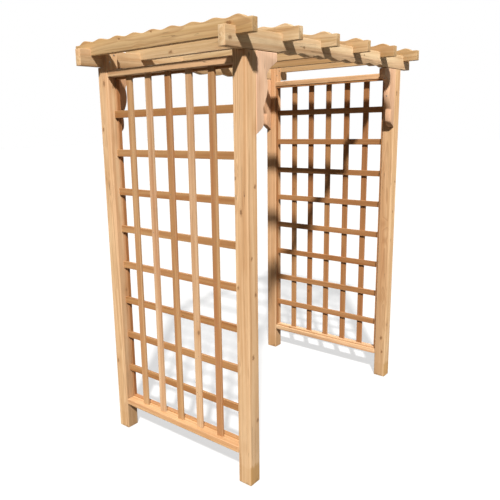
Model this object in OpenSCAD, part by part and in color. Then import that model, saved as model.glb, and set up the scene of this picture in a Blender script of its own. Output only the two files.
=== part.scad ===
// Walk-through garden arbor in cedar: four posts, two headers with a wavy
// underside, six scalloped rafters notched over them, four shaped knee braces,
// and a slatted panel on each side between a bottom and a top rail.
// X runs along the headers, Y through the passage, Z up.
// The origin is on the ground, in the middle of the four posts.

/* [Overall] */
// Width over the outer faces of the posts
arbor_w = 1524; // [1100:1:2200]
// Depth over the outer faces of the posts
arbor_d = 914; // [650:1:1300]
// Height of the underside of the headers
headroom = 1930; // [1600:1:2400]

/* [Posts] */
// Side of a square post
post_w = 70; // [66:1:100]
// Radius of the eased post edges
post_ease = 5; // [2:0.5:12]

/* [Headers] */
// Thickness of a header board
header_t = 35; // [20:0.5:40]
// Height of a header board
header_h = 78; // [60:1:110]
// How far a header runs out past the posts
header_over = 128; // [70:1:200]
// Number of waves along the underside between the braces
header_waves = 8; // [4:1:12]
// Depth of a wave
header_wave_h = 9.5; // [4:0.5:16]

/* [Rafters] */
// Thickness of a rafter board
rafter_t = 35; // [20:0.5:40]
// Height of a rafter at its crests
rafter_h = 72; // [55:1:100]
// Depth of the notch that seats a rafter on a header
rafter_notch = 31; // [15:1:40]
// How far a rafter runs out past the headers
rafter_over = 80; // [40:1:160]
// How far the outermost rafters stand out past the posts
rafter_out = 64; // [45:1:90]
// Number of crests along a rafter
rafter_crests = 9; // [5:1:12]
// Depth of the hollows between crests
rafter_wave_h = 9; // [3:0.5:12]
// Distance of the first crest from an end
rafter_end = 70; // [50:1:110]
// Length over which the back falls from that crest
rafter_fall = 46; // [20:1:48]
// How far it falls, to the level of the end
rafter_drop = 16; // [6:1:24]

/* [Braces] */
// Reach of a knee brace along the header
brace_w = 150; // [110:1:200]
// Height of a knee brace
brace_h = 333; // [240:1:420]
// Height of the square end that a brace has under the header
brace_end = 38; // [20:1:60]
// Width of a brace at its neck, below that end
brace_neck = 75; // [60:1:100]
// Depth of the neck below the header
brace_neck_low = 100; // [80:1:130]
// Height of the rounded tip
brace_tip = 41; // [25:1:70]
// How far the lobes between the neck and the tip stand out
brace_lobe = 17; // [6:1:22]
// How much narrower a brace is after each lobe
brace_taper = 28; // [10:1:34]

/* [Side panels] */
// Thickness of a rail
rail_t = 32; // [25:1:50]
// Height of the underside of the bottom rail
rail_low = 143; // [60:1:300]
// Gap between a top rail and the level of the headers
rail_gap = 19; // [0:1:60]
// Width of a slat
slat_w = 35; // [20:1:50]
// Thickness of a slat
slat_t = 13; // [8:0.5:15]
// How far the slats sit in from the outer face of the posts
slat_inset = 20; // [5:1:24]
// Number of upright slats
uprights = 5; // [3:1:8]
// Number of level slats
levels = 8; // [4:1:12]
// Width of the cleats that the slats are fixed to
cleat_w = 20; // [12:1:24]
// How far the cleats stand out from the posts and rails
cleat_t = 10; // [8:0.5:20]

/* [Hidden] */
$fn = 48;

cedar = "#D2A470";
cedar_light = "#DDB98C";
cedar_pink = "#D9A583";
cedar_deep = "#BD8554";

// Heights
header_top = headroom + header_h;
panel_low = rail_low + rail_t;
panel_top = headroom - rail_gap - rail_t;

// Plan
bay = arbor_d - 2 * post_w;
clear_w = arbor_w - 2 * post_w;

// Rafters: the length over both ends and the step from one to the next
rafter_count = 6;
rafter_len = arbor_d + 2 * rafter_over;
rafter_z = header_top - rafter_notch;
rafter_first = arbor_w / 2 + rafter_out - rafter_t / 2;
rafter_step = 2 * rafter_first / (rafter_count - 1);
crest_step = (rafter_len - 2 * rafter_end) / (rafter_crests - 1);

// Level slats divide the distance between the middles of the rails
level_from = rail_low + rail_t / 2;
level_step = (panel_top - rail_low) / (levels + 1);
upright_step = bay / (uprights + 1);

// A brace's free edge runs through one and a half lobes, from the neck to the
// widest place above the tip
brace_lobes = 1.5;
brace_bulge_low = brace_h - brace_tip;
brace_bulge = brace_neck - brace_lobes * brace_taper + brace_lobe;

// The left front corner's piece, carried to any of the four corners
module corner(side, face) {
    mirror([side > 0 ? 1 : 0, 0, 0]) mirror([0, face > 0 ? 1 : 0, 0])
        translate([-arbor_w / 2, -arbor_d / 2, 0]) children();
}

// Square with its corners rounded off
module eased_square(w, r) {
    translate([r, 0]) square([w - 2 * r, w]);
    translate([0, r]) square([w, w - 2 * r]);
    for (x = [r, w - r]) for (y = [r, w - r]) translate([x, y]) circle(r);
}

// A post with its outer half cut away at the top, where the header sits
module post(side, face) {
    corner(side, face) difference() {
        linear_extrude(header_top) eased_square(post_w, post_ease);
        translate([-1, -1, headroom]) cube([post_w + 2, header_t + 1, header_h + 1]);
    }
}

// Header seen from the front: square ends, straight over the braces, wavy
// between them
module header_outline() {
    reach = arbor_w / 2 + header_over;
    from = clear_w / 2 - brace_w;
    steps = 12;
    low = [for (i = [0 : header_waves * steps])
        [-from + i * 2 * from / (header_waves * steps),
         header_wave_h * (1 - cos(i * 360 / steps)) / 2]];
    polygon(concat([[-reach, 0]], low, [[reach, 0], [reach, header_h], [-reach, header_h]]));
}

module header(face) {
    mirror([0, face > 0 ? 1 : 0, 0]) translate([0, -arbor_d / 2 + header_t, headroom])
        rotate([90, 0, 0]) linear_extrude(header_t) header_outline();
}

// Height of a rafter's back at a distance along it
function rafter_back(u) =
    let (e = min(u, rafter_len - u))
    e > rafter_end ? rafter_h - rafter_wave_h * (1 - cos(360 * (u - rafter_end) / crest_step)) / 2
    : e > rafter_end - rafter_fall
        ? rafter_h - rafter_drop * (1 - cos(180 * (rafter_end - e) / rafter_fall)) / 2
    : rafter_h - rafter_drop;

// Rafter seen from the side: crests along the back, notches for the headers
module rafter_outline() {
    steps = 12;
    fall = [for (i = [0 : steps - 1]) rafter_end - rafter_fall + i * rafter_fall / steps];
    crests = [for (i = [0 : (rafter_crests - 1) * steps]) rafter_end + i * crest_step / steps];
    rise = [for (i = [steps - 1 : -1 : 0]) rafter_len - fall[i]];
    difference() {
        polygon(concat([[0, 0]], [for (u = concat([0], fall, crests, rise, [rafter_len]))
            [u, rafter_back(u)]], [[rafter_len, 0]]));
        for (y = [rafter_over, rafter_len - rafter_over - header_t])
            translate([y, -1]) square([header_t, rafter_notch + 1]);
    }
}

module rafter(i) {
    translate([-rafter_first + i * rafter_step - rafter_t / 2, -rafter_len / 2, rafter_z])
        rotate([90, 0, 90]) linear_extrude(rafter_t) rafter_outline();
}

// Width of a brace at a depth below the header
function brace_at(low) =
    let (lobes = brace_lobes * (low - brace_neck_low) / (brace_bulge_low - brace_neck_low))
    low < brace_neck_low
        ? brace_neck + (brace_w - brace_neck)
            * (1 - sin(90 * (low - brace_end) / (brace_neck_low - brace_end)))
    : low < brace_bulge_low
        ? brace_neck - brace_taper * lobes + brace_lobe * abs(sin(180 * lobes))
    : brace_bulge * cos(90 * (low - brace_bulge_low) / brace_tip);

// Knee brace in the corner under a header, level with the outer face of both
module brace(side, face) {
    steps = 8;
    lobe_steps = 3 * steps;
    lows = concat(
        [for (i = [0 : steps - 1]) brace_end + i * (brace_neck_low - brace_end) / steps],
        [for (i = [0 : lobe_steps - 1])
            brace_neck_low + i * (brace_bulge_low - brace_neck_low) / lobe_steps],
        [for (i = [0 : steps]) brace_bulge_low + i * brace_tip / steps]);
    corner(side, face) translate([post_w, header_t, headroom])
        rotate([90, 0, 0]) linear_extrude(header_t)
            polygon(concat([[0, 0], [brace_w, 0]], [for (low = lows) [brace_at(low), -low]]));
}

// Rail laid flat between the two posts of a side
module rail(side, z) {
    mirror([side > 0 ? 1 : 0, 0, 0])
        translate([-arbor_w / 2, -bay / 2, z]) cube([post_w, bay, rail_t]);
}

// One layer of a side panel, counted in from the outer face
module layer(side, n) {
    mirror([side > 0 ? 1 : 0, 0, 0])
        translate([-arbor_w / 2 + slat_inset + n * slat_t, -bay / 2, 0]) children();
}

// Upright slats outside, level slats behind them
module lattice(side) {
    layer(side, 0) for (i = [1 : uprights])
        translate([0, i * upright_step - slat_w / 2, panel_low])
            cube([slat_t, slat_w, panel_top - panel_low]);
    layer(side, 1) for (i = [1 : levels])
        translate([0, 0, level_from + i * level_step - slat_w / 2])
            cube([slat_t, bay, slat_w]);
}

// Cleat on the face of a post, behind the ends of the level slats
module upright_cleat(side, face) {
    layer(side, 2) translate([0, face > 0 ? bay - cleat_t : 0, panel_low])
        cube([cleat_w, cleat_t, panel_top - panel_low]);
}

// Cleat on a rail, between the upright cleats
module level_cleat(side, z) {
    layer(side, 2) translate([0, cleat_t, z]) cube([cleat_w, bay - 2 * cleat_t, cleat_t]);
}

module post_front_left() { color(cedar) post(-1, -1); }
module post_front_right() { color(cedar) post(1, -1); }
module post_back_left() { color(cedar) post(-1, 1); }
module post_back_right() { color(cedar) post(1, 1); }
module header_front() { color(cedar_light) header(-1); }
module header_back() { color(cedar_light) header(1); }
module rafter_1() { color(cedar_light) rafter(0); }
module rafter_2() { color(cedar_light) rafter(1); }
module rafter_3() { color(cedar_light) rafter(2); }
module rafter_4() { color(cedar_light) rafter(3); }
module rafter_5() { color(cedar_light) rafter(4); }
module rafter_6() { color(cedar_light) rafter(5); }
module brace_front_left() { color(cedar_pink) brace(-1, -1); }
module brace_front_right() { color(cedar_pink) brace(1, -1); }
module brace_back_left() { color(cedar_pink) brace(-1, 1); }
module brace_back_right() { color(cedar_pink) brace(1, 1); }
module top_rail_left() { color(cedar) rail(-1, panel_top); }
module top_rail_right() { color(cedar) rail(1, panel_top); }
module bottom_rail_left() { color(cedar) rail(-1, rail_low); }
module bottom_rail_right() { color(cedar) rail(1, rail_low); }
module lattice_left() { color(cedar_deep) lattice(-1); }
module lattice_right() { color(cedar_deep) lattice(1); }
module cleat_left_front() { color(cedar_deep) upright_cleat(-1, -1); }
module cleat_left_back() { color(cedar_deep) upright_cleat(-1, 1); }
module cleat_left_bottom() { color(cedar_deep) level_cleat(-1, panel_low); }
module cleat_left_top() { color(cedar_deep) level_cleat(-1, panel_top - cleat_t); }
module cleat_right_front() { color(cedar_deep) upright_cleat(1, -1); }
module cleat_right_back() { color(cedar_deep) upright_cleat(1, 1); }
module cleat_right_bottom() { color(cedar_deep) level_cleat(1, panel_low); }
module cleat_right_top() { color(cedar_deep) level_cleat(1, panel_top - cleat_t); }

post_front_left();
post_front_right();
post_back_left();
post_back_right();
header_front();
header_back();
rafter_1();
rafter_2();
rafter_3();
rafter_4();
rafter_5();
rafter_6();
brace_front_left();
brace_front_right();
brace_back_left();
brace_back_right();
top_rail_left();
top_rail_right();
bottom_rail_left();
bottom_rail_right();
lattice_left();
lattice_right();
cleat_left_front();
cleat_left_back();
cleat_left_bottom();
cleat_left_top();
cleat_right_front();
cleat_right_back();
cleat_right_bottom();
cleat_right_top();
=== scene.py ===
# %% [markdown]
# # A cedar garden arbor
# This notebook finishes a walk-through garden arbor: four square posts, two
# headers, six scalloped rafters, four knee braces, and a slatted panel on each
# side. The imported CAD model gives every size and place. What is added here is
# what a joiner and the weather add: eased edges, separate slats, nails and
# screws, and the grain of western red cedar.

import math

import bmesh
import bpy
import numpy as np
from mathutils import Matrix, Vector


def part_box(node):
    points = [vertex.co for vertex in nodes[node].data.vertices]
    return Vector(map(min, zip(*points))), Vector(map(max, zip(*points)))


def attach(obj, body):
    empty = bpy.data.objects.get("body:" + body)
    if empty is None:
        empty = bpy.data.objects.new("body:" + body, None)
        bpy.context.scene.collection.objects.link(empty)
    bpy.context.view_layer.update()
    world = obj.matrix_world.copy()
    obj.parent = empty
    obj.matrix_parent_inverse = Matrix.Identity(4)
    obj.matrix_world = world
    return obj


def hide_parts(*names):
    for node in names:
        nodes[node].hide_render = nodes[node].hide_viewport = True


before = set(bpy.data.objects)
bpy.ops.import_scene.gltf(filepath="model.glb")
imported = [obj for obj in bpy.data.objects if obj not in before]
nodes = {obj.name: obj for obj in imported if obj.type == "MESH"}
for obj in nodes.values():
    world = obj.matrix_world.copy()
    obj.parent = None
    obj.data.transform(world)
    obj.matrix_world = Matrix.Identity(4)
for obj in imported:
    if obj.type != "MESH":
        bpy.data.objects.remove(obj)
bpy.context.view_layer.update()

# %% [markdown]
# ## The camera
# The arbor is seen past its left front corner, from about the height of a
# person's eyes, through a lens of normal length. A camera could be turned by
# three angles, but the result depends on their order. Here its own X and Y axes
# are worked out from its heading, its downward tilt and its small roll, and a
# matrix made of them says exactly what it does.

# %% Place the camera
camera_place = (-2.6248, -1.8524, 1.6445)
heading = math.radians(-49.383)
tilt = math.radians(11.996)
roll = math.radians(-1.501)

ahead = Vector((
    -math.sin(heading) * math.cos(tilt),
    math.cos(heading) * math.cos(tilt),
    -math.sin(tilt)))
level = ahead.cross(Vector((0, 0, 1))).normalized()
above = level.cross(ahead)
camera_x = level * math.cos(roll) + above * math.sin(roll)
camera_y = above * math.cos(roll) - level * math.sin(roll)
camera_axes = Matrix((camera_x, camera_y, -ahead)).transposed().to_4x4()

camera_data = bpy.data.cameras.new("camera")
camera_data.sensor_width = 36.0
camera_data.lens = 40.724
camera_data.shift_x = 0.0768
camera_data.shift_y = -0.0123
camera = bpy.data.objects.new("camera", camera_data)
bpy.context.scene.collection.objects.link(camera)
camera.matrix_world = Matrix.Translation(camera_place) @ camera_axes
bpy.context.scene.camera = camera
bpy.context.scene.view_settings.view_transform = "Standard"
print("Camera", round(camera.location.length, 2), "m from the middle of the arbor's foot")

# %% [markdown]
# ## Nodes from a script
# Materials and Geometry Nodes trees are both made of nodes, sockets and links.
# They could be written out node by node, but that takes four lines each and
# hides the idea. These small helpers keep the trees below short: one adds a
# node and fills its inputs, one does a sum and one does a sum on vectors. An
# input may be a plain value or the output of another node, and `fill` sees
# which it is.

# %% Helpers for node trees
def fill(tree, socket, value):
    """Links an output to a socket, or writes a plain value into it."""
    if isinstance(value, bpy.types.NodeSocket):
        tree.links.new(value, socket)
    else:
        socket.default_value = value


def add(tree, kind, inputs=None, **settings):
    """Adds a node, sets its properties and fills its inputs."""
    node = tree.nodes.new(kind)
    for name, value in settings.items():
        setattr(node, name, value)
    for key, value in (inputs or {}).items():
        fill(tree, node.inputs[key], value)
    return node


def calc(tree, operation, *values):
    """A sum on numbers."""
    node = add(tree, "ShaderNodeMath", operation=operation)
    for socket, value in zip(node.inputs, values):
        fill(tree, socket, value)
    return node.outputs[0]


def calc_vector(tree, operation, *values):
    """A sum on vectors. A length or a distance comes out as a number."""
    node = add(tree, "ShaderNodeVectorMath", operation=operation)
    for socket, value in zip(node.inputs, values):
        fill(tree, socket, value)
    return node.outputs["Value" if operation in ("LENGTH", "DISTANCE") else "Vector"]


print("Helpers for node trees: fill, add, calc and calc_vector")

# %% Helpers for materials
def between(tree, value, low, high, at_low=0.0, at_high=1.0):
    """Goes smoothly from one number to another while a value rises from low to high."""
    node = add(tree, "ShaderNodeMapRange", {
        "Value": value, "From Min": low, "From Max": high,
        "To Min": at_low, "To Max": at_high}, interpolation_type="SMOOTHSTEP")
    return node.outputs["Result"]


def mix(tree, amount, first, second, blend="MIX"):
    """Mixes two colours."""
    node = add(tree, "ShaderNodeMix", data_type="RGBA", blend_type=blend)
    fill(tree, node.inputs[0], amount)
    fill(tree, node.inputs[6], first)
    fill(tree, node.inputs[7], second)
    return node.outputs[2]


def cloud(tree, place, scale, detail=2.0, rough=0.5):
    """Noise from 0 to 1, with its own scale along each of the three axes."""
    stretched = calc_vector(tree, "MULTIPLY", place, scale)
    node = add(tree, "ShaderNodeTexNoise", {
        "Vector": stretched, "Scale": 1.0, "Detail": detail, "Roughness": rough})
    return node.outputs["Fac"]


def tint(tree, red, green, blue):
    """Three strengths as one colour, which another colour is multiplied by."""
    node = add(tree, "ShaderNodeCombineColor", {"Red": red, "Green": green, "Blue": blue})
    return node.outputs[0]


def rgb(red, green, blue):
    """A colour given as it looks on a screen, 0 to 255, made linear for a shader."""
    return tuple(
        (c / 255 / 12.92) if c < 11 else ((c / 255 + 0.055) / 1.055) ** 2.4
        for c in (red, green, blue)) + (1.0,)


print("The middle grey of a screen is", round(rgb(128, 128, 128)[0], 3), "in a shader")

# %% [markdown]
# ## Plain light and a pale floor
# An arbor stands in one strong light from high up and in a weak one from all
# round. One lamp alone would leave every shaded side black. So there are
# three: a high lamp a few degrees wide, whose shadows are crisp where boards
# touch and softer further off, and two wide soft lamps that fill the front and
# the back. The world adds a little even light.
#
# The backdrop and the floor are white only to the rays that can show them:
# those that come straight from the camera or by way of a shiny or clear
# surface. To the rest of the light the floor is dull as ground is, so that the
# undersides of the rails and rafters stay dark as they do outdoors.

# %% Three lamps
def lamp(name, energy, spread, direction, color=(1.0, 1.0, 1.0)):
    """A far lamp that shines in one direction, softer the wider its spread in degrees."""
    data = bpy.data.lights.new(name, "SUN")
    data.energy = energy
    data.angle = math.radians(spread)
    data.color = color
    holder = bpy.data.objects.new(name, data)
    holder.rotation_euler = Vector(direction).to_track_quat("-Z", "Y").to_euler()
    bpy.context.scene.collection.objects.link(holder)


high_white = (1.0, 0.985, 0.96)
soft_white = (1.0, 0.98, 0.94)
lamp("high_lamp", 4.9, 3.0, (1.52, 1.09, -1.85), high_white)
lamp("soft_front_lamp", 0.14, 60.0, (0.1, 1.0, -0.35), soft_white)
lamp("soft_back_lamp", 1.7, 60.0, (-0.9, -1.0, -0.45))
print(len(bpy.data.lights), "lamps are hung")

# %% An even world with a white backdrop
def shows_backdrop(tree):
    """1 for the rays that can show the backdrop and the pale floor, 0 for other light."""
    path = add(tree, "ShaderNodeLightPath").outputs
    seen_or_mirrored = calc(tree, "MAXIMUM", path["Is Camera Ray"], path["Is Glossy Ray"])
    return calc(tree, "MAXIMUM", seen_or_mirrored, path["Is Transmission Ray"])


world = bpy.data.worlds.new("even_light")
bpy.context.scene.world = world
world.use_nodes = True
sky = world.node_tree
sky.nodes.clear()
even_strength = 0.085
even_light = add(sky, "ShaderNodeBackground", {
    "Color": (*soft_white, 1), "Strength": even_strength})
backdrop = add(sky, "ShaderNodeBackground", {"Color": (1, 1, 1, 1), "Strength": 1.0})
either = add(sky, "ShaderNodeMixShader", {
    0: shows_backdrop(sky), 1: even_light.outputs[0], 2: backdrop.outputs[0]})
add(sky, "ShaderNodeOutputWorld", {"Surface": either.outputs[0]})
print("The world shines at", even_strength, "from all round")

# %% A floor that looks white and gives light as ground does
far = 40.0
corners = [(-far, -far, 0), (far, -far, 0), (far, far, 0), (-far, far, 0)]
floor_mesh = bpy.data.meshes.new("floor")
floor_mesh.from_pydata(corners, [], [(0, 1, 2, 3)])
floor = bpy.data.objects.new("floor", floor_mesh)
bpy.context.scene.collection.objects.link(floor)

pale_floor = bpy.data.materials.new("pale_floor")
pale_floor.use_nodes = True
ground = pale_floor.node_tree
ground.nodes.clear()
dull = add(ground, "ShaderNodeBsdfDiffuse", {"Color": (0.10, 0.095, 0.08, 1)})
pale = add(ground, "ShaderNodeBsdfDiffuse", {"Color": (0.9, 0.9, 0.9, 1)})
glow = add(ground, "ShaderNodeEmission", {"Color": (1, 1, 1, 1), "Strength": 1.0})
white = add(ground, "ShaderNodeMixShader", {0: 0.6, 1: pale.outputs[0], 2: glow.outputs[0]})
shown = add(ground, "ShaderNodeMixShader", {
    0: shows_backdrop(ground), 1: dull.outputs[0], 2: white.outputs[0]})
add(ground, "ShaderNodeOutputMaterial", {"Surface": shown.outputs[0]})
floor_mesh.materials.append(pale_floor)
print("The floor is", round(2 * far), "m across")

# %% [markdown]
# ## Wood that is solid all the way through
# Every board here was once inside a log. Its grain is the pattern that the
# log's rings make where the saw went through, so a face shows long flames or
# straight lines and the end shows arcs, and the two meet at the edge. A stripe
# pattern laid on each face would be quicker, but it would break at the edges
# and make all the boards look alike.
#
# So each board's points are also given a place in a log of its own: how far
# along the log they lie and how far out from its heart. The material draws
# rings in that log and knows nothing of faces. Two boards never show the same
# figure, because each is cut from another part of a log, at another turn.

# %% Tell the boards of a mesh apart
def boards_in(mesh):
    """Numbers the loose parts of a mesh, and says for each point which part it is in."""
    part = np.arange(len(mesh.vertices))
    edges = np.empty(len(mesh.edges) * 2, np.int64)
    mesh.edges.foreach_get("vertices", edges)
    one, other = edges.reshape(-1, 2).T
    while True:
        lowest = np.minimum(part[one], part[other])
        before = part.copy()
        np.minimum.at(part, one, lowest)
        np.minimum.at(part, other, lowest)
        if np.array_equal(before, part):
            return part


print("Boards are told apart by the edges that join their points")

# %% Give every board a place in a log
saw_lean = 0.008


def put_in_log(piece, seed, heart, tones, reds):
    """Writes each point's place in a log, and each board's tone and redness.

    The heart of the log is somewhere between the two given distances away. A tone of
    -1 is pale, 0 middling and 1 deep. A redness of 0 is sapwood and 1 is heartwood.
    Boards past the end of either list draw their own.
    """
    mesh = piece.data
    count = len(mesh.vertices)
    points = np.empty(count * 3, np.float32)
    mesh.vertices.foreach_get("co", points)
    points = points.reshape(-1, 3)
    part = boards_in(mesh)
    draw = np.random.default_rng(seed)
    place = np.zeros((count, 3), np.float32)
    tone = np.zeros(count, np.float32)
    red = np.zeros(count, np.float32)
    for number, board in enumerate(np.unique(part)):
        own = part == board
        low = points[own].min(0)
        high = points[own].max(0)
        order = np.argsort(low - high)
        along, wide, thick = (points[own] - (low + high) / 2)[:, order].T
        turn = draw.uniform(0, 2 * math.pi)
        lean = draw.normal(0, saw_lean, 2)
        out = wide * math.cos(turn) - thick * math.sin(turn) + lean[0] * along
        side = wide * math.sin(turn) + thick * math.cos(turn) + lean[1] * along
        place[own] = np.column_stack((
            along + draw.uniform(2, 60), out + draw.uniform(*heart), side))
        tone[own] = tones[number] if number < len(tones) else draw.uniform(-0.6, 0.6)
        red[own] = reds[number] if number < len(reds) else draw.uniform(0.0, 0.15)
    written = mesh.attributes.new("log", "FLOAT_VECTOR", "POINT")
    written.data.foreach_set("vector", place.ravel())
    for name, values in (("tone", tone), ("red", red)):
        written = mesh.attributes.new(name, "FLOAT", "POINT")
        written.data.foreach_set("value", values)
    return len(np.unique(part))


print("The saw leans up to about", round(math.degrees(2 * saw_lean), 1), "degrees to the log")

# %% [markdown]
# ## The cedar itself
# One group of nodes holds what all the cedar has in common:
#
# - rings a few millimetres apart, pale at first and darker at their end, bent
#   by slow noise because no log is round;
# - long streaks and thin dark veins, and a redder wood towards the heart;
# - small knots, dark in the middle, with the rings flowing round them;
# - fine fibres, which are mostly felt as roughness and bump;
# - a few fine drying cracks along the grain;
# - a painted highlight: a paler line on the eased edges that stands in for light catching their
#   rounding.
#
# Each finish could have a tree of its own, but then a better ring would have
# to be drawn seven times. The group gives out a colour, a roughness and a
# height for the bump. The finishes further down only choose the colours, the
# distance between rings and the larger knots of each board.

# %% Start the cedar group
cedar = bpy.data.node_groups.new("cedar", "ShaderNodeTree")
for way, kind, names in (
        ("INPUT", "NodeSocketColor", ("Pale", "Deep", "Red")),
        ("INPUT", "NodeSocketFloat", ("Ring step", "Figure", "Large knots")),
        ("OUTPUT", "NodeSocketColor", ("Color",)),
        ("OUTPUT", "NodeSocketFloat", ("Roughness", "Height"))):
    for name in names:
        cedar.interface.new_socket(name=name, in_out=way, socket_type=kind)
given = add(cedar, "NodeGroupInput").outputs
log = add(cedar, "ShaderNodeAttribute", attribute_name="log").outputs["Vector"]
tone = add(cedar, "ShaderNodeAttribute", attribute_name="tone").outputs["Fac"]
red = add(cedar, "ShaderNodeAttribute", attribute_name="red").outputs["Fac"]
print("The cedar group has", len(cedar.interface.items_tree), "inputs and outputs")

# %% Small knots, and how far the rings bend round all knots
knots_per_metre = (5.0, 9.0, 9.0)
spread = calc_vector(cedar, "MULTIPLY", log, knots_per_metre)
cells = add(cedar, "ShaderNodeTexVoronoi", {"Vector": spread, "Scale": 1.0, "Randomness": 1.0})
pin_knots = between(cedar, cells.outputs["Distance"], 0.03, 0.08, 1.0, 0.0)
near_pin = between(cedar, cells.outputs["Distance"], 0.03, 0.30, 1.0, 0.0)
large_core = between(cedar, given["Large knots"], 0.52, 0.80)
knots = calc(cedar, "MAXIMUM", pin_knots, large_core)
bend = calc(cedar, "MAXIMUM", near_pin, between(cedar, given["Large knots"], 0.0, 0.7))
print("Small knots lie about", round(1 / knots_per_metre[0], 2), "m apart along a board")

# %% Rings
out_of_round = 0.017
slow = add(cedar, "ShaderNodeTexNoise", {
    "Vector": calc_vector(cedar, "MULTIPLY", log, (1.1, 7.0, 7.0)), "Scale": 1.0, "Detail": 2.0})
wander = calc_vector(
    cedar, "MULTIPLY_ADD", slow.outputs["Color"],
    (0.0, 2 * out_of_round, 2 * out_of_round), (0.0, -out_of_round, -out_of_round))
bent_log = calc_vector(cedar, "ADD", log, wander)
across = calc_vector(cedar, "MULTIPLY", bent_log, (0.0, 1.0, 1.0))
from_heart = calc_vector(cedar, "LENGTH", across)
pushed = calc(cedar, "MULTIPLY_ADD", bend, 0.006, from_heart)
ring = calc(cedar, "FRACT", calc(cedar, "DIVIDE", pushed, given["Ring step"]))
slow_rise = calc(cedar, "POWER", ring, 2.6)
quick_fall = between(cedar, ring, 0.9, 1.0, 1.0, 0.0)
late_wood = calc(cedar, "MULTIPLY", slow_rise, quick_fall)
print("Rings wander up to", round(1000 * out_of_round), "mm from round")

# %% Streaks, veins, fibres and cracks
streaks = cloud(cedar, bent_log, (0.9, 42.0, 42.0), 3.0, 0.6)
veins = cloud(cedar, bent_log, (0.7, 120.0, 120.0), 2.0, 0.6)
broad = cloud(cedar, bent_log, (0.45, 11.0, 11.0), 2.0)
fibres = cloud(cedar, log, (26.0, 700.0, 700.0), 2.0)
from_crack = calc(cedar, "SUBTRACT", cloud(cedar, log, (1.6, 55.0, 55.0), 1.0), 0.5)
crack_line = between(cedar, calc(cedar, "ABSOLUTE", from_crack), 0.002, 0.007, 1.0, 0.0)
crack_here = between(cedar, cloud(cedar, log, (3.1, 9.0, 9.0), 1.0), 0.60, 0.68)
cracks = calc(cedar, "MULTIPLY", crack_line, crack_here)
print("The grain takes", len(cedar.nodes), "nodes so far")

# %% Colour: streaks, redness, veins and rings
streaky = between(cedar, streaks, 0.33, 0.68)
colour = mix(cedar, streaky, given["Pale"], given["Deep"])
red_band = calc(cedar, "MULTIPLY", between(cedar, broad, 0.42, 0.72), 0.55)
colour = mix(cedar, calc(cedar, "MAXIMUM", red_band, red), colour, given["Red"])
vein = calc(cedar, "MULTIPLY", between(cedar, veins, 0.58, 0.68, 0.0, 0.42), given["Figure"])
colour = mix(cedar, vein, colour, rgb(150, 98, 56))
ring_shade = calc(cedar, "MULTIPLY", given["Figure"], 0.42)
colour = mix(cedar, calc(cedar, "MULTIPLY", late_wood, ring_shade), colour, rgb(150, 92, 52))
print("The figure's colours bring it to", len(cedar.nodes), "nodes")

# %% Colour: fibres, and the tone of the whole board
fine = calc(cedar, "MULTIPLY_ADD", fibres, 0.30, 0.85)
colour = mix(cedar, 1.0, colour, tint(cedar, fine, fine, fine), "MULTIPLY")
lift = calc(cedar, "MULTIPLY_ADD", tone, -0.12, 1.0)
board_tint = tint(
    cedar, lift, calc(cedar, "POWER", lift, 1.6), calc(cedar, "POWER", lift, 2.6))
colour = mix(cedar, 1.0, colour, board_tint, "MULTIPLY")
print("With fibres and tone it has", len(cedar.nodes), "nodes")

# %% Colour: knots, cracks and a painted highlight on the eased edges
halo = calc(cedar, "MULTIPLY", bend, between(cedar, fibres, 0.3, 0.7, 0.16, 0.42))
colour = mix(cedar, halo, colour, rgb(176, 118, 66))
knot_dark = calc(cedar, "MULTIPLY", knots, between(cedar, fibres, 0.3, 0.7, 0.78, 0.40))
colour = mix(cedar, knot_dark, colour, rgb(104, 66, 36))
colour = mix(cedar, calc(cedar, "MULTIPLY", cracks, 0.75), colour, rgb(70, 44, 26))
# Painted highlight: the eased faces are mixed towards a pale cream, as if light caught their
# rounding.
eased = add(cedar, "ShaderNodeAttribute", attribute_name="eased").outputs["Fac"]
colour = mix(cedar, calc(cedar, "MULTIPLY", eased, 0.16), colour, rgb(250, 222, 180))
print("With knots, cracks and edges it has", len(cedar.nodes), "nodes")

# %% Roughness and height
smoother_late = calc(cedar, "MULTIPLY_ADD", late_wood, -0.10, 0.60)
rough = calc(cedar, "MULTIPLY_ADD", fibres, 0.22, smoother_late)
height = calc(cedar, "MULTIPLY_ADD", fibres, 0.5, calc(cedar, "MULTIPLY", late_wood, 0.6))
height = calc(cedar, "MULTIPLY_ADD", cracks, -2.5, height)
height = calc(cedar, "MULTIPLY_ADD", knots, 0.5, height)
add(cedar, "NodeGroupOutput", {"Color": colour, "Roughness": rough, "Height": height})
print("The cedar group has", len(cedar.nodes), "nodes")

# %% [markdown]
# ## The larger knots
# A knot is where a branch grew out of the trunk, and a few large ones are what
# the eye picks out on a post. Noise alone would scatter them anywhere, so these
# are listed one by one, each by the part that it is on and by how far along and
# across that part it lies. In the material a knot is a small stretched ball
# around that place, with a rough edge.

# %% Larger knots, by part
def knots_on(part, *knots):
    """Places and radii of a part's knots. Each is given by shares of its box along X, Y, Z."""
    low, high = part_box(part)
    placed = []
    for *shares, radius in knots:
        place = tuple(l + (h - l) * share for l, h, share in zip(low, high, shares))
        placed.append((place, radius))
    return placed


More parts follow.
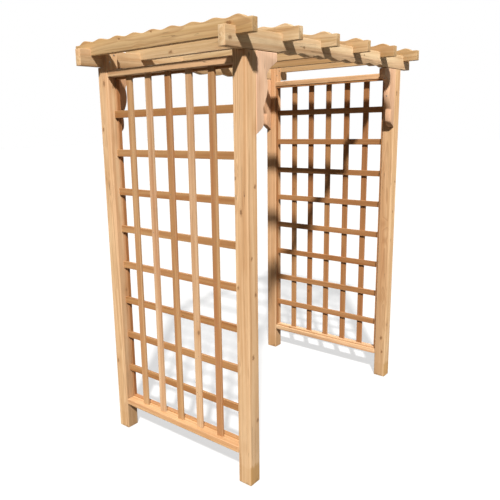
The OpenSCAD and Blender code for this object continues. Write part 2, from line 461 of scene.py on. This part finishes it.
post_knots = (
    *knots_on("post_front_left",
              (0.02, 0.52, 0.636, 0.007), (0.00, 0.92, 0.707, 0.005), (0.00, 0.80, 0.470, 0.005),
              (0.75, 0.00, 0.688, 0.006), (0.34, 0.00, 0.536, 0.005), (0.70, 0.00, 0.454, 0.006),
              (0.40, 0.00, 0.312, 0.007), (0.80, 0.00, 0.155, 0.006)),
    *knots_on("post_back_left", (0.00, 0.40, 0.922, 0.008), (0.00, 0.80, 0.811, 0.006)),
    *knots_on("post_front_right",
              (0.33, 0.00, 0.892, 0.007), (0.76, 0.00, 0.631, 0.006), (0.51, 0.00, 0.540, 0.006),
              (0.34, 0.00, 0.452, 0.005), (0.00, 0.40, 0.130, 0.007), (0.00, 0.29, 0.084, 0.006)),
)
header_knots = (
    *knots_on("header_front",
              (0.017, 0.00, 0.41, 0.007), (0.316, 0.00, 0.47, 0.005), (0.655, 0.00, 0.60, 0.004)),
    *knots_on("header_back", (0.40, 0.00, 0.55, 0.006), (0.72, 0.00, 0.40, 0.005)),
)
rafter_knots = (
    *knots_on("rafter_1",
              (0.00, 0.104, 0.62, 0.008), (0.00, 0.502, 0.90, 0.004), (0.00, 0.700, 0.77, 0.005)),
    *knots_on("rafter_2", (0.00, 0.690, 0.30, 0.007)),
    *knots_on("rafter_4", (0.00, 0.620, 0.40, 0.006)),
    *knots_on("rafter_5", (0.00, 0.350, 0.55, 0.005)),
)
print(len(post_knots) + len(header_knots) + len(rafter_knots), "larger knots are placed")

# %% Draw the larger knots in a material
knot_fuzz = 0.009
well_away = 9.0


def large_knots(tree, knots, stretch):
    """How near the surface is to one of the placed knots: 1 in it, 0 well away."""
    place = add(tree, "ShaderNodeTexCoord").outputs["Object"]
    uneven = add(tree, "ShaderNodeTexNoise", {
        "Vector": place, "Scale": 110.0, "Detail": 3.0, "Roughness": 0.7})
    shake = calc_vector(
        tree, "MULTIPLY_ADD", uneven.outputs["Color"], (2 * knot_fuzz,) * 3, (-knot_fuzz,) * 3)
    place = calc_vector(tree, "ADD", place, shake)
    nearest = well_away
    for centre, radius in knots:
        offset = calc_vector(tree, "SUBTRACT", place, centre)
        offset = calc_vector(tree, "MULTIPLY", offset, tuple(s / radius for s in stretch))
        nearest = calc(tree, "MINIMUM", nearest, calc_vector(tree, "LENGTH", offset))
    return between(tree, nearest, 0.0, 2.4, 1.0, 0.0)


print("A knot's edge is rough by", round(1000 * knot_fuzz), "mm")

# %% [markdown]
# ## Finishes
# Posts, headers, rafters, braces, rails, slats and cleats are sawn from
# different boards, so each has a finish of its own: the headers and rafters
# are yellower, the braces pinker, and the slats redder and darker. One finish
# with a shade for each board would nearly do, but rings, knots and soil differ
# as well, so one function makes all seven from a few values. All are dry bare
# wood, which shines little and spreads the light wide.
#
# The feet of the posts have soaked up damp and been splashed with soil. Below
# a ragged tide line their front and back faces are stained most, and the last
# few centimetres are darker all round.

# %% Soil on the feet of the posts
outer_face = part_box("post_back_left")[1].y
tide_line = 0.120
tide_swing = 0.08


def soil(tree, place, colour):
    """Stains a colour near the ground, most of all on the front and back faces of the posts."""
    split = add(tree, "ShaderNodeSeparateXYZ", {0: place}).outputs
    uneven = cloud(tree, place, (26.0, 26.0, 12.0), 4.0, 0.6)
    ragged = calc(tree, "MULTIPLY_ADD", uneven, tide_swing, split["Z"])
    damp = between(tree, ragged, tide_line, tide_line + 0.015, 1.0, 0.0)
    from_middle = calc(tree, "ABSOLUTE", split["Y"])
    splashed = between(tree, from_middle, outer_face - 0.004, outer_face - 0.001, 0.12, 0.62)
    colour = mix(tree, calc(tree, "MULTIPLY", damp, splashed), colour, rgb(180, 132, 62))
    foot = between(tree, ragged, 0.038, 0.050, 0.35, 0.0)
    return mix(tree, foot, colour, rgb(96, 72, 40))


print("Soil reaches about", round(1000 * (tide_line - tide_swing / 2)), "mm up the posts")

# %% A finish of cedar
def cedar_finish(name, pale, deep, red, ring_step=0.0035, figure=1.0,
                 knots=(), stretch=(1, 1, 1), soiled=False):
    """A material of cedar in three colours, with its larger knots and its soiled feet."""
    material = bpy.data.materials.new(name)
    material.use_nodes = True
    tree = material.node_tree
    shader = tree.nodes["Principled BSDF"]
    wood = add(tree, "ShaderNodeGroup", node_tree=cedar)
    wood.inputs["Pale"].default_value = rgb(*pale)
    wood.inputs["Deep"].default_value = rgb(*deep)
    wood.inputs["Red"].default_value = rgb(*red)
    wood.inputs["Ring step"].default_value = ring_step
    wood.inputs["Figure"].default_value = figure
    if knots:
        fill(tree, wood.inputs["Large knots"], large_knots(tree, knots, stretch))
    place = add(tree, "ShaderNodeTexCoord").outputs["Object"]
    blotches = between(
        tree, cloud(tree, place, (7.0, 7.0, 4.0), 4.0, 0.6), 0.35, 0.75, 0.0, 0.15)
    colour = mix(tree, blotches, wood.outputs["Color"], rgb(176, 136, 88))
    if soiled:
        colour = soil(tree, place, colour)
    tree.links.new(colour, shader.inputs["Base Color"])
    tree.links.new(wood.outputs["Roughness"], shader.inputs["Roughness"])
    shader.inputs["Specular IOR Level"].default_value = 0.24
    shader.inputs["Diffuse Roughness"].default_value = 0.5
    bump = add(tree, "ShaderNodeBump", {
        "Strength": 0.55, "Distance": 0.0007, "Height": wood.outputs["Height"]})
    tree.links.new(bump.outputs["Normal"], shader.inputs["Normal"])
    return material


print("A finish needs three colours and a distance between rings")

# %% The seven finishes
upright = (1.0, 1.0, 0.6)
along_x = (0.6, 1.0, 1.0)
along_y = (1.0, 0.6, 1.0)
finishes = {
    "post_wood": cedar_finish(
        "post_cedar", (233, 201, 158), (209, 168, 122), (210, 155, 111),
        knots=post_knots, stretch=upright, soiled=True),
    "header_wood": cedar_finish(
        "header_cedar", (238, 208, 162), (216, 178, 128), (218, 168, 124),
        knots=header_knots, stretch=along_x),
    "rafter_wood": cedar_finish(
        "rafter_cedar", (228, 201, 158), (200, 166, 117), (204, 158, 111),
        ring_step=0.005, knots=rafter_knots, stretch=along_y),
    "brace_wood": cedar_finish(
        "brace_cedar", (236, 198, 162), (226, 182, 144), (226, 172, 136), figure=0.45),
    "rail_wood": cedar_finish(
        "rail_cedar", (230, 192, 144), (198, 152, 104), (202, 144, 106)),
    "slat_wood": cedar_finish(
        "slat_cedar", (207, 170, 124), (180, 134, 89), (178, 118, 78), ring_step=0.0028),
    "cleat_wood": cedar_finish(
        "cleat_cedar", (206, 158, 108), (180, 130, 80), (174, 112, 72), ring_step=0.0028),
}
print("Finishes:", ", ".join(sorted(finishes)))

# %% [markdown]
# ## Boards from the CAD parts
# A planed board never has a knife-sharp edge: the joiner eases it, so that it
# is kind to the hand and holds a finish. That narrow rounded edge is what
# catches the light along every post and rail.
#
# The boards could be modelled again from their sizes, but the CAD parts already
# have every curve. So a part is left alone, and a copy of it is merged into one
# closed mesh, its flat faces are made whole again, and a Bevel modifier rounds
# its sharp edges. The result is made a plain mesh, because the place in the log
# is written on its final points. The faces that the bevel made are marked, so
# that a painted highlight can make the wood paler there.

# %% Make the modifiers' result the mesh
def settle(piece):
    """Makes the result of a piece's modifiers its mesh, and removes the modifiers."""
    bpy.context.view_layer.update()
    result = piece.evaluated_get(bpy.context.evaluated_depsgraph_get())
    mesh = bpy.data.meshes.new_from_object(result)
    piece.modifiers.clear()
    piece.data = mesh
    return piece


print("A settled piece has no modifiers left")

# %% Ease the edges of a piece
narrowest_flat = 0.002
same_way = 0.9995


def directions(mesh):
    """The direction of every face of a mesh, and how wide each face is."""
    faces = mesh.polygons
    normal = np.empty(len(faces) * 3, np.float32)
    faces.foreach_get("normal", normal)
    points = [np.array([mesh.vertices[i].co for i in face.vertices]) for face in faces]
    longest = [np.linalg.norm(p - np.roll(p, 1, 0), axis=1).max() for p in points]
    width = [face.area / length for face, length in zip(faces, longest)]
    return normal.reshape(-1, 3), np.array(width)


def ease(piece, radius):
    """Rounds the sharp edges of a piece, and marks the narrow faces that this makes."""
    for polygon in piece.data.polygons:
        polygon.use_smooth = True
    flat, width = directions(piece.data)
    flat = flat[width > narrowest_flat]
    bevel = piece.modifiers.new("eased_edges", "BEVEL")
    bevel.width = radius
    bevel.segments = 2
    bevel.limit_method = "ANGLE"
    bevel.angle_limit = math.radians(35)
    bevel.harden_normals = True
    settle(piece)
    # These marked faces get the cedar's painted highlight, a paler colour on the eased edges.
    eased = (directions(piece.data)[0] @ flat.T).max(1) < same_way
    mark = piece.data.attributes.new("eased", "FLOAT", "FACE")
    mark.data.foreach_set("value", eased.astype(np.float32))
    return piece


turned_by = round(math.degrees(math.acos(same_way)), 1)
print("A face turned more than", turned_by, "degrees from every flat one is an eased edge")

# %% Copy a part as a board
same_point = 1e-5
in_plane = 1e-4
still_flat = math.radians(0.1)


def board_from(node, radius, joints):
    """A board with eased edges, in the shape of a CAD part.

    A joint is (axis, place, shift): points of the board in that plane draw back
    by the shift, which leaves the hairline of a real joint.
    """
    shape = bmesh.new()
    shape.from_mesh(nodes[node].data)
    bmesh.ops.remove_doubles(shape, verts=shape.verts, dist=same_point)
    bmesh.ops.dissolve_limit(
        shape, angle_limit=still_flat, verts=shape.verts, edges=shape.edges)
    for axis, place, shift in joints:
        for vertex in shape.verts:
            if abs(vertex.co[axis] - place) < in_plane:
                vertex.co[axis] += shift
    mesh = bpy.data.meshes.new(node + "_board")
    shape.to_mesh(mesh)
    shape.free()
    piece = bpy.data.objects.new(node + "_board", mesh)
    bpy.context.scene.collection.objects.link(piece)
    return ease(piece, radius)


print("A board starts from one of", len(nodes), "CAD parts")

# %% Finish a piece
def finish_piece(piece, slot, *replaced):
    """Gives a piece its finish, lets it ride on the arbor and stand for its CAD parts."""
    piece.data.materials.clear()
    piece.data.materials.append(finishes[slot])
    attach(piece, "root")
    if replaced:
        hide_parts(*replaced)


print("Every piece rides on the body root")

# %% [markdown]
# ## Joints
# Two boards that meet are never one: a dark hairline shows where they touch,
# and a cut end leaves a little more than that. A dark line could be drawn on
# the wood, but a real gap catches the shadow by itself from every side. So a
# board's end is drawn back by a millimetre or a few, and the other board stays.

# %% Where boards meet
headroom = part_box("header_front")[0].z
post_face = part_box("post_front_right")[0].x
bay_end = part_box("top_rail_left")[1].y
header_gap = 0.0025
brace_gap = 0.001
rail_gap = 0.0015
cleat_gap = 0.0045


def joints_of(node):
    """The joints of a board: under the header, beside a post, at a rail's or cleat's ends."""
    under_header = (2, headroom, -header_gap)
    if node.startswith("post_"):
        return (under_header,)
    if node.startswith("brace_"):
        return (under_header, (0, -post_face, brace_gap), (0, post_face, -brace_gap))
    if node.startswith(("top_rail_", "bottom_rail_")):
        return ((1, -bay_end, rail_gap), (1, bay_end, -rail_gap))
    if node.startswith("cleat_"):
        return ((1, -bay_end, cleat_gap), (1, bay_end, -cleat_gap))
    return ()


print("The posts and braces meet the headers", round(headroom, 3), "m above the ground")

# %% [markdown]
# ## Choosing the boards
# A joiner picks boards from a stack, and no two have the same shade. Each kind
# of board has its finish, the radius of its eased edges, and how far from the
# heart of a log it is cut, which makes its flames long or its lines straight.
# A tone and a redness then set each single board apart. They could be drawn at
# random, but the paler and darker boards stand where they would be noticed, so
# they are chosen one by one.

# %% Stock, tones and redness
# Start of the parts' names, finish, radius of the edges, and how far away the heart is.
stock = (
    ("post_", "post_wood", 0.0015, (0.03, 0.09)),
    ("header_", "header_wood", 0.0022, (0.08, 0.20)),
    ("rafter_", "rafter_wood", 0.0022, (0.07, 0.18)),
    ("brace_", "brace_wood", 0.0022, (0.10, 0.22)),
    ("top_rail_", "rail_wood", 0.0040, (0.05, 0.16)),
    ("bottom_rail_", "rail_wood", 0.0040, (0.05, 0.16)),
    ("cleat_", "cleat_wood", 0.0012, (0.05, 0.16)),
)
board_tones = {
    "post_front_left": -0.05, "post_front_right": 0.2,
    "post_back_left": -0.1, "post_back_right": 0.0,
    "header_front": -0.8, "header_back": -0.3,
    "rafter_1": 0.9, "rafter_2": -0.5, "rafter_3": -0.1,
    "rafter_4": 0.5, "rafter_5": 0.9, "rafter_6": 0.4,
    "brace_front_left": -0.9, "brace_front_right": 0.0,
    "brace_back_left": 0.6, "brace_back_right": 0.3,
    "top_rail_left": -0.5, "top_rail_right": -0.4,
    "bottom_rail_left": 0.3, "bottom_rail_right": -1.2,
    "cleat_left_bottom": 0.2, "cleat_right_bottom": -2.4,
    "cleat_left_top": 0.8, "cleat_right_top": 0.8,
    "cleat_left_front": 1.0, "cleat_right_front": 1.0,
    "cleat_left_back": 0.9, "cleat_right_back": 1.4,
}
board_reds = {
    "post_front_left": 0.2, "post_back_right": 0.45, "bottom_rail_left": 0.2,
    "cleat_left_back": 0.5, "cleat_right_back": 0.5,
}
usual_red = 0.05
# The nearest post is cut from a log that grew straighter.
straighter_log = {"post_front_left": 1203}
deepest = max(board_tones, key=board_tones.get)
print("The deepest board is", deepest, "and the palest", min(board_tones, key=board_tones.get))

# %% Posts, headers, rafters, braces, rails and cleats
boards = {}
seed = 200
for prefix, slot, radius, heart in stock:
    faces = 0
    kind = sorted(node for node in nodes if node.startswith(prefix))
    for node in kind:
        seed += 1
        board = board_from(node, radius, joints_of(node))
        put_in_log(board, straighter_log.get(node, seed), heart,
                   [board_tones[node]], [board_reds.get(node, usual_red)])
        finish_piece(board, slot, node)
        boards[node] = board
        faces += len(board.data.polygons)
    print(prefix, len(kind), "boards,", faces, "faces")

# %% [markdown]
# ## Slatted panels by rule
# A side panel is five upright slats nailed over eight level ones. Each slat
# could be placed by hand, but they all follow one rule, so a Geometry Nodes
# tree makes them: a row of points, a plain board on each, and a little play in
# place and angle, because no one nails twenty-six slats to the tenth of a
# millimetre. The sizes are named inputs, and each side gives its own.
#
# One small tree makes a row. The panel's tree uses it twice and joins the rows.

# %% A tree that makes one row of slats
def new_tree(name, inputs):
    """An empty Geometry Nodes tree with named inputs and a geometry output."""
    tree = bpy.data.node_groups.new(name, "GeometryNodeTree")
    tree.interface.new_socket(name="Geometry", in_out="INPUT", socket_type="NodeSocketGeometry")
    for label, kind in inputs:
        tree.interface.new_socket(name=label, in_out="INPUT", socket_type="NodeSocket" + kind)
    tree.interface.new_socket(name="Geometry", in_out="OUTPUT", socket_type="NodeSocketGeometry")
    return tree, add(tree, "NodeGroupInput").outputs


row, asked = new_tree("row_of_slats", (
    ("Count", "Int"), ("Size", "Vector"), ("First", "Vector"), ("Step", "Vector"),
    ("Play", "Vector"), ("Lean", "Vector"), ("Seed", "Int")))
line = add(row, "GeometryNodeMeshLine", {
    "Count": asked["Count"], "Start Location": asked["First"],
    "Offset": asked["Step"]}, mode="OFFSET")
nudge = add(row, "FunctionNodeRandomValue", {
    "Min": calc_vector(row, "MULTIPLY", asked["Play"], (-1, -1, -1)),
    "Max": asked["Play"], "Seed": asked["Seed"]}, data_type="FLOAT_VECTOR")
placed = add(row, "GeometryNodeSetPosition", {
    "Geometry": line.outputs[0], "Offset": nudge.outputs[0]})
twist_seed = calc(row, "ADD", asked["Seed"], 7)
twist = add(row, "FunctionNodeRandomValue", {
    "Min": calc_vector(row, "MULTIPLY", asked["Lean"], (-1, -1, -1)),
    "Max": asked["Lean"], "Seed": twist_seed}, data_type="FLOAT_VECTOR")
slat = add(row, "GeometryNodeMeshCube", {"Size": asked["Size"]})
slats = add(row, "GeometryNodeInstanceOnPoints", {
    "Points": placed.outputs[0], "Instance": slat.outputs[0], "Rotation": twist.outputs[0]})
add(row, "NodeGroupOutput", {0: slats.outputs[0]})
print("The row tree has", len(row.nodes), "nodes")

# %% The panel's tree: sizes and steps
def triple(tree, x, y, z):
    """Three numbers as one vector."""
    return add(tree, "ShaderNodeCombineXYZ", {0: x, 1: y, 2: z}).outputs[0]


panel, asked = new_tree("slatted_panel", (
    ("Uprights", "Int"), ("Levels", "Int"), ("Bay", "Float"), ("Height", "Float"),
    ("Rail thickness", "Float"), ("Slat width", "Float"), ("Slat thickness", "Float"),
    ("Side", "Float"), ("Seed", "Int"), ("Wood", "Material")))

half_thick = calc(panel, "MULTIPLY", asked["Slat thickness"], 0.5)
outside = calc(panel, "MULTIPLY", half_thick, asked["Side"])
upright_step = calc(panel, "DIVIDE", asked["Bay"], calc(panel, "ADD", asked["Uprights"], 1))
rails_apart = calc(panel, "ADD", asked["Height"], asked["Rail thickness"])
level_step = calc(panel, "DIVIDE", rails_apart, calc(panel, "ADD", asked["Levels"], 1))
first_level = calc(panel, "MULTIPLY_ADD", asked["Rail thickness"], -0.5, level_step)
print("The panel tree has", len(panel.interface.items_tree) - 2, "sizes and choices")

# %% The panel's tree: uprights outside, levels behind them
uprights = add(panel, "GeometryNodeGroup", {
    "Count": asked["Uprights"],
    "Size": triple(panel, asked["Slat thickness"], asked["Slat width"], asked["Height"]),
    "First": triple(panel, outside, upright_step, calc(panel, "MULTIPLY", asked["Height"], 0.5)),
    "Step": triple(panel, 0.0, upright_step, 0.0),
    "Play": (0.0, 0.0012, 0.0), "Lean": (0.0010, 0.0, 0.0), "Seed": asked["Seed"]}, node_tree=row)
levels = add(panel, "GeometryNodeGroup", {
    "Count": asked["Levels"],
    "Size": triple(panel, asked["Slat thickness"], asked["Bay"], asked["Slat width"]),
    "First": triple(panel, calc(panel, "MULTIPLY", outside, -1.0),
                    calc(panel, "MULTIPLY", asked["Bay"], 0.5), first_level),
    "Step": triple(panel, 0.0, 0.0, level_step),
    "Play": (0.0, 0.0, 0.0015), "Lean": (0.0022, 0.0, 0.0),
    "Seed": calc(panel, "ADD", asked["Seed"], 3)}, node_tree=row)
both = add(panel, "GeometryNodeJoinGeometry")
panel.links.new(uprights.outputs[0], both.inputs[0])
panel.links.new(levels.outputs[0], both.inputs[0])
real = add(panel, "GeometryNodeRealizeInstances", {"Geometry": both.outputs[0]})
dressed = add(panel, "GeometryNodeSetMaterial", {
    "Geometry": real.outputs[0], "Material": asked["Wood"]})
add(panel, "NodeGroupOutput", {0: dressed.outputs[0]})
print("The panel tree has", len(panel.nodes), "nodes")

# %% Run a tree on an empty mesh
def grow(name, tree, start=None, **values):
    """Runs a Geometry Nodes tree with the given inputs, and keeps the result as a plain mesh."""
    piece = bpy.data.objects.new(name, start or bpy.data.meshes.new(name))
    bpy.context.scene.collection.objects.link(piece)
    modifier = piece.modifiers.new(name, "NODES")
    modifier.node_group = tree
    for socket in tree.interface.items_tree:
        label = socket.name.replace(" ", "_").lower()
        if socket.in_out == "INPUT" and label in values:
            modifier[socket.identifier] = values[label]
    return settle(piece)


print("A tree's inputs are set by the identifiers of its sockets")

# %% Two panels of slats
slat_width = 0.035
slat_edge = 0.0014
slat_heart = (0.04, 0.14)
upright_count = 5
level_count = 8
level_tones = {
    "left": (2.0, 1.5, 1.8, 1.0, 1.0, 1.1, 1.1, 2.1),
    "right": (1.2, 1.4, 1.6, 1.3, 1.4, 1.6, 1.7, 1.5)}
upright_tones = {
    "left": (0.5, -1.6, 0.4, -1.9, 0.0),
    "right": (1.5, 1.8, 1.3, 1.9, 1.2)}
slat_reds = {
    "left": (0.15,) * (level_count + upright_count),
    "right": (0.4,) * level_count + (0.6, 0.5, 0.4, 0.6, 0.3)}
for side, outward, number in (("left", -1.0, 11), ("right", 1.0, 23)):
    low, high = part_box("lattice_" + side)
    rail_low, rail_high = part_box("bottom_rail_" + side)
    slat_thickness = (high.x - low.x) / 2
    slatted = grow(
        "slats_" + side, panel, uprights=upright_count, levels=level_count,
        bay=high.y - low.y, height=high.z - low.z, rail_thickness=rail_high.z - rail_low.z,
        slat_width=slat_width, slat_thickness=slat_thickness, side=outward, seed=number,
        wood=finishes["slat_wood"])
    slatted.data.transform(Matrix.Translation(((low.x + high.x) / 2, low.y, low.z)))
    ease(slatted, slat_edge)
    count = put_in_log(
        slatted, number, slat_heart, level_tones[side] + upright_tones[side], slat_reds[side])
    finish_piece(slatted, "slat_wood", "lattice_" + side)
    print("slats_" + side, "has", count, "slats of", round(slat_thickness * 1000), "mm")

# %% [markdown]
# ## Nails and screws
# The slats are nailed where they cross and at their ends, and the cleats are
# nailed to the posts and rails. The heavier boards are screwed where the screws
# do not show from outside: the headers from behind, through the posts, and the
# rafters from above.
#
# There are more than two hundred fixings of two kinds. Each could be an object,
# but a tree is shorter: it puts a head on every point of a bare mesh, turned to
# face out of the wood. The points carry that direction as an attribute. A
# nail's head is a shallow dome of a few faces. A screw's head is a disc with a
# cross cut into it.

# %% A tree that sets a head on every point
fixings, asked = new_tree("fixings", (
    ("Head", "Object"), ("Turn", "Float"), ("Seed", "Int"), ("Metal", "Material")))
facing = add(fixings, "GeometryNodeInputNamedAttribute", {
    "Name": "facing"}, data_type="FLOAT_VECTOR")
upright_head = add(fixings, "FunctionNodeAlignRotationToVector", {
    "Vector": facing.outputs[0]}, axis="Z")
spin = add(fixings, "FunctionNodeRandomValue", {
    2: 0.0, 3: asked["Turn"], "Seed": asked["Seed"]}, data_type="FLOAT")
turned = add(fixings, "FunctionNodeRotateRotation", {
    0: upright_head.outputs[0],
    1: triple(fixings, 0.0, 0.0, spin.outputs[1])}, rotation_space="LOCAL")
head_shape = add(fixings, "GeometryNodeObjectInfo", {"Object": asked["Head"]})
heads = add(fixings, "GeometryNodeInstanceOnPoints", {
    "Points": asked["Geometry"], "Instance": head_shape.outputs["Geometry"],
    "Rotation": turned.outputs[0]})
real = add(fixings, "GeometryNodeRealizeInstances", {"Geometry": heads.outputs[0]})
dressed = add(fixings, "GeometryNodeSetMaterial", {
    "Geometry": real.outputs[0], "Material": asked["Metal"]})
add(fixings, "NodeGroupOutput", {0: dressed.outputs[0]})
print("The fixings tree has", len(fixings.nodes), "nodes")

# %% A head turned on a lathe
def lathe(name, outline, sides):
    """A closed round shape from the radius and height of each of its rings."""
    turns = [2 * math.pi * i / sides for i in range(sides)]
    points = [(r * math.cos(turn), r * math.sin(turn), z) for r, z in outline for turn in turns]
    faces = []
    for lower in range(0, len(points) - sides, sides):
        upper = lower + sides
        for i in range(sides):
            after = (i + 1) % sides
            faces.append((lower + i, lower + after, upper + after, upper + i))
    faces.append(tuple(reversed(range(sides))))
    faces.append(tuple(range(len(points) - sides, len(points))))
    mesh = bpy.data.meshes.new(name)
    mesh.from_pydata(points, [], faces)
    piece = bpy.data.objects.new(name, mesh)
    bpy.context.scene.collection.objects.link(piece)
    return piece


nail_head = lathe("nail_head", ((0.0016, -0.0008), (0.0018, 0.0002), (0.0010, 0.0006)), 10)
screw_head = lathe("screw_head", (
    (0.0020, -0.0030), (0.0044, -0.0004), (0.0044, 0.0002), (0.0040, 0.0006)), 20)
print("A nail's head has", len(nail_head.data.polygons), "faces")

# %% The cross in a screw's head
arm_size = (0.0050, 0.0011, 0.0036, 1.0)
for turn in (0, math.pi / 2):
    cutter = bpy.data.objects.new("cutter", bpy.data.meshes.new("cutter"))
    bpy.context.scene.collection.objects.link(cutter)
    arm = bmesh.new()
    arm_place = Matrix.Rotation(turn, 4, "Z") @ Matrix.Diagonal(arm_size)
    bmesh.ops.create_cube(arm, size=1.0, matrix=arm_place)
    arm.to_mesh(cutter.data)
    arm.free()
    cross = screw_head.modifiers.new("cross", "BOOLEAN")
    cross.operation = "DIFFERENCE"
    cross.solver = "EXACT"
    cross.object = cutter
    settle(screw_head)
    bpy.data.objects.remove(cutter)
print("A screw's head has", len(screw_head.data.polygons), "faces")

# %% [markdown]
# ## Zinc on the fixings
# Outdoor nails and screws are dipped in zinc, which sets in small crystals and
# dulls in spots. One grey would do from far away, but close by a head would
# look like plastic. A fine cell pattern makes the crystals lighter and darker,
# and slow noise makes the metal dull in places and raises it a little.

# %% Dull galvanised steel
def steel_finish(name, light, dark):
    """A metal with the crystal patches and dull spots of a zinc coat."""
    material = bpy.data.materials.new(name)
    material.use_nodes = True
    tree = material.node_tree
    shader = tree.nodes["Principled BSDF"]
    place = add(tree, "ShaderNodeTexCoord").outputs["Object"]
    crystals = add(tree, "ShaderNodeTexVoronoi", {"Vector": place, "Scale": 900.0})
    patches = mix(tree, crystals.outputs["Distance"], rgb(*light), rgb(*dark))
    dull = cloud(tree, place, (240.0, 240.0, 240.0), 3.0)
    tree.links.new(patches, shader.inputs["Base Color"])
    tree.links.new(between(tree, dull, 0.3, 0.7, 0.35, 0.65), shader.inputs["Roughness"])
    shader.inputs["Metallic"].default_value = 0.85
    bump = add(tree, "ShaderNodeBump", {"Strength": 0.3, "Distance": 0.0001, "Height": dull})
    tree.links.new(bump.outputs["Normal"], shader.inputs["Normal"])
    return material


steel = steel_finish("galvanised_steel", (172, 166, 154), (112, 106, 96))
print("The steel has", len(steel.node_tree.nodes), "nodes")

# %% Where the nails go
# Sideways and up from the middle of a crossing, and in from the end of a level slat.
crossing_nail = (0.007, 0.008)
end_nail = 0.009
# A cleat, the way its nails face, the axis they follow, how many, and the margin at the ends.
cleat_nailing = (
    ("_front", (0, 1, 0), 2, 7, 0.06),
    ("_back", (0, -1, 0), 2, 7, 0.06),
    ("_bottom", (0, 0, 1), 1, 4, 0.05),
    ("_top", (0, 0, -1), 1, 4, 0.05),
)


def slat_nails(side, outward):
    """Points and directions of the nails that hold the slats: two at each crossing."""
    low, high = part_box("lattice_" + side)
    rail_low, rail_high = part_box("bottom_rail_" + side)
    rail_thickness = rail_high.z - rail_low.z
    step_y = (high.y - low.y) / (upright_count + 1)
    step_z = (high.z - low.z + rail_thickness) / (level_count + 1)
    outer = high.x if outward > 0 else low.x
    middle = (low.x + high.x) / 2
    across, up = crossing_nail
    spots = []
    for j in range(level_count):
        z = low.z - rail_thickness / 2 + (j + 1) * step_z
        for i in range(upright_count):
            y = low.y + (i + 1) * step_y
            shift = across if (i + j) % 2 else -across
            spots.append(((outer, y + shift, z + up), (outward, 0, 0)))
            spots.append(((outer, y - shift, z - up), (outward, 0, 0)))
        for y in (low.y + end_nail, high.y - end_nail):
            spots.append(((middle, y, z), (outward, 0, 0)))
    return spots


def cleat_nails(side):
    """Points and directions of the nails along the inner faces of a panel's cleats."""
    spots = []
    for end, way, along, count, margin in cleat_nailing:
        low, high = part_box("cleat_" + side + end)
        step = (high[along] - low[along] - 2 * margin) / (count - 1)
        for k in range(count):
            spot = [(l + h + w * (h - l)) / 2 for l, h, w in zip(low, high, way)]
            spot[along] = low[along] + margin + k * step
            spots.append((tuple(spot), way))
    return spots


print(2 * upright_count * level_count, "nails hold the crossings of one panel")

# %% Set the nails
def set_heads(name, head, spots, turn, number):
    """Sets a head on each point with the fixings tree."""
    start = bpy.data.meshes.new(name)
    start.from_pydata([place for place, way in spots], [], [])
    ways = np.array([way for place, way in spots], np.float32)
    facing_of = start.attributes.new("facing", "FLOAT_VECTOR", "POINT")
    facing_of.data.foreach_set("vector", ways.ravel())
    piece = grow(name, fixings, start, head=head, turn=turn, seed=number, metal=steel)
    for polygon in piece.data.polygons:
        polygon.use_smooth = False
    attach(piece, "root")
    print(name, len(spots), "heads,", len(piece.data.polygons), "faces")


for side, outward in (("left", -1), ("right", 1)):
    spots = slat_nails(side, outward) + cleat_nails(side)
    set_heads("nails_" + side, nail_head, spots, 0.0, 5)

# %% Find the wood with a straight line
def on_wood(node, start, way):
    """The first point of a board that a straight line meets, and the way it faces there."""
    hit, place, normal, index = boards[node].ray_cast(Vector(start), Vector(way))
    return tuple(place), tuple(normal)


header_low, header_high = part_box("header_front")
header_middle = (header_low.y + header_high.y) / 2
underside = on_wood("header_front", (0.0, header_middle, 0.0), (0, 0, 1))[0]
print("A line up from the ground meets the front header at", round(underside[2], 3), "m")

# %% Where the screws go
# Share of a post's width, and height above the underside of the header.
post_screws = ((0.3, 0.022), (0.7, 0.054))
# A brace is screwed to its post this far below the header, and to the header this far
# in from its free end.
brace_drop = 0.155
brace_reach = 0.035
# How far off a line starts that looks for the wood.
clear = 0.1

screws = []
for corner in ("front_left", "front_right", "back_left", "back_right"):
    post = "post_" + corner
    brace = "brace_" + corner
    low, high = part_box(post)
    out_of_bay = (0, -1, 0) if "front" in corner else (0, 1, 0)
    for share, rise in post_screws:
        x = low.x + share * (high.x - low.x)
        screws.append(on_wood(post, (x, 0.0, headroom + rise), out_of_bay))
    is_left = high.x < 0
    y = header_middle if "front" in corner else -header_middle
    to_post = (-1, 0, 0) if is_left else (1, 0, 0)
    screws.append(on_wood(brace, (0.0, y, headroom - brace_drop), to_post))
    brace_low, brace_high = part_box(brace)
    x = brace_high.x - brace_reach if is_left else brace_low.x + brace_reach
    screws.append(on_wood(brace, (x, y, brace_low.z - clear), (0, 0, 1)))
for number in range(1, 7):
    rafter = "rafter_" + str(number)
    low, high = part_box(rafter)
    for y in (header_middle, -header_middle):
        screws.append(on_wood(rafter, ((low.x + high.x) / 2, y, high.z + clear), (0, 0, -1)))
set_heads("screws", screw_head, screws, 1.5, 9)
bpy.data.objects.remove(nail_head)
bpy.data.objects.remove(screw_head)
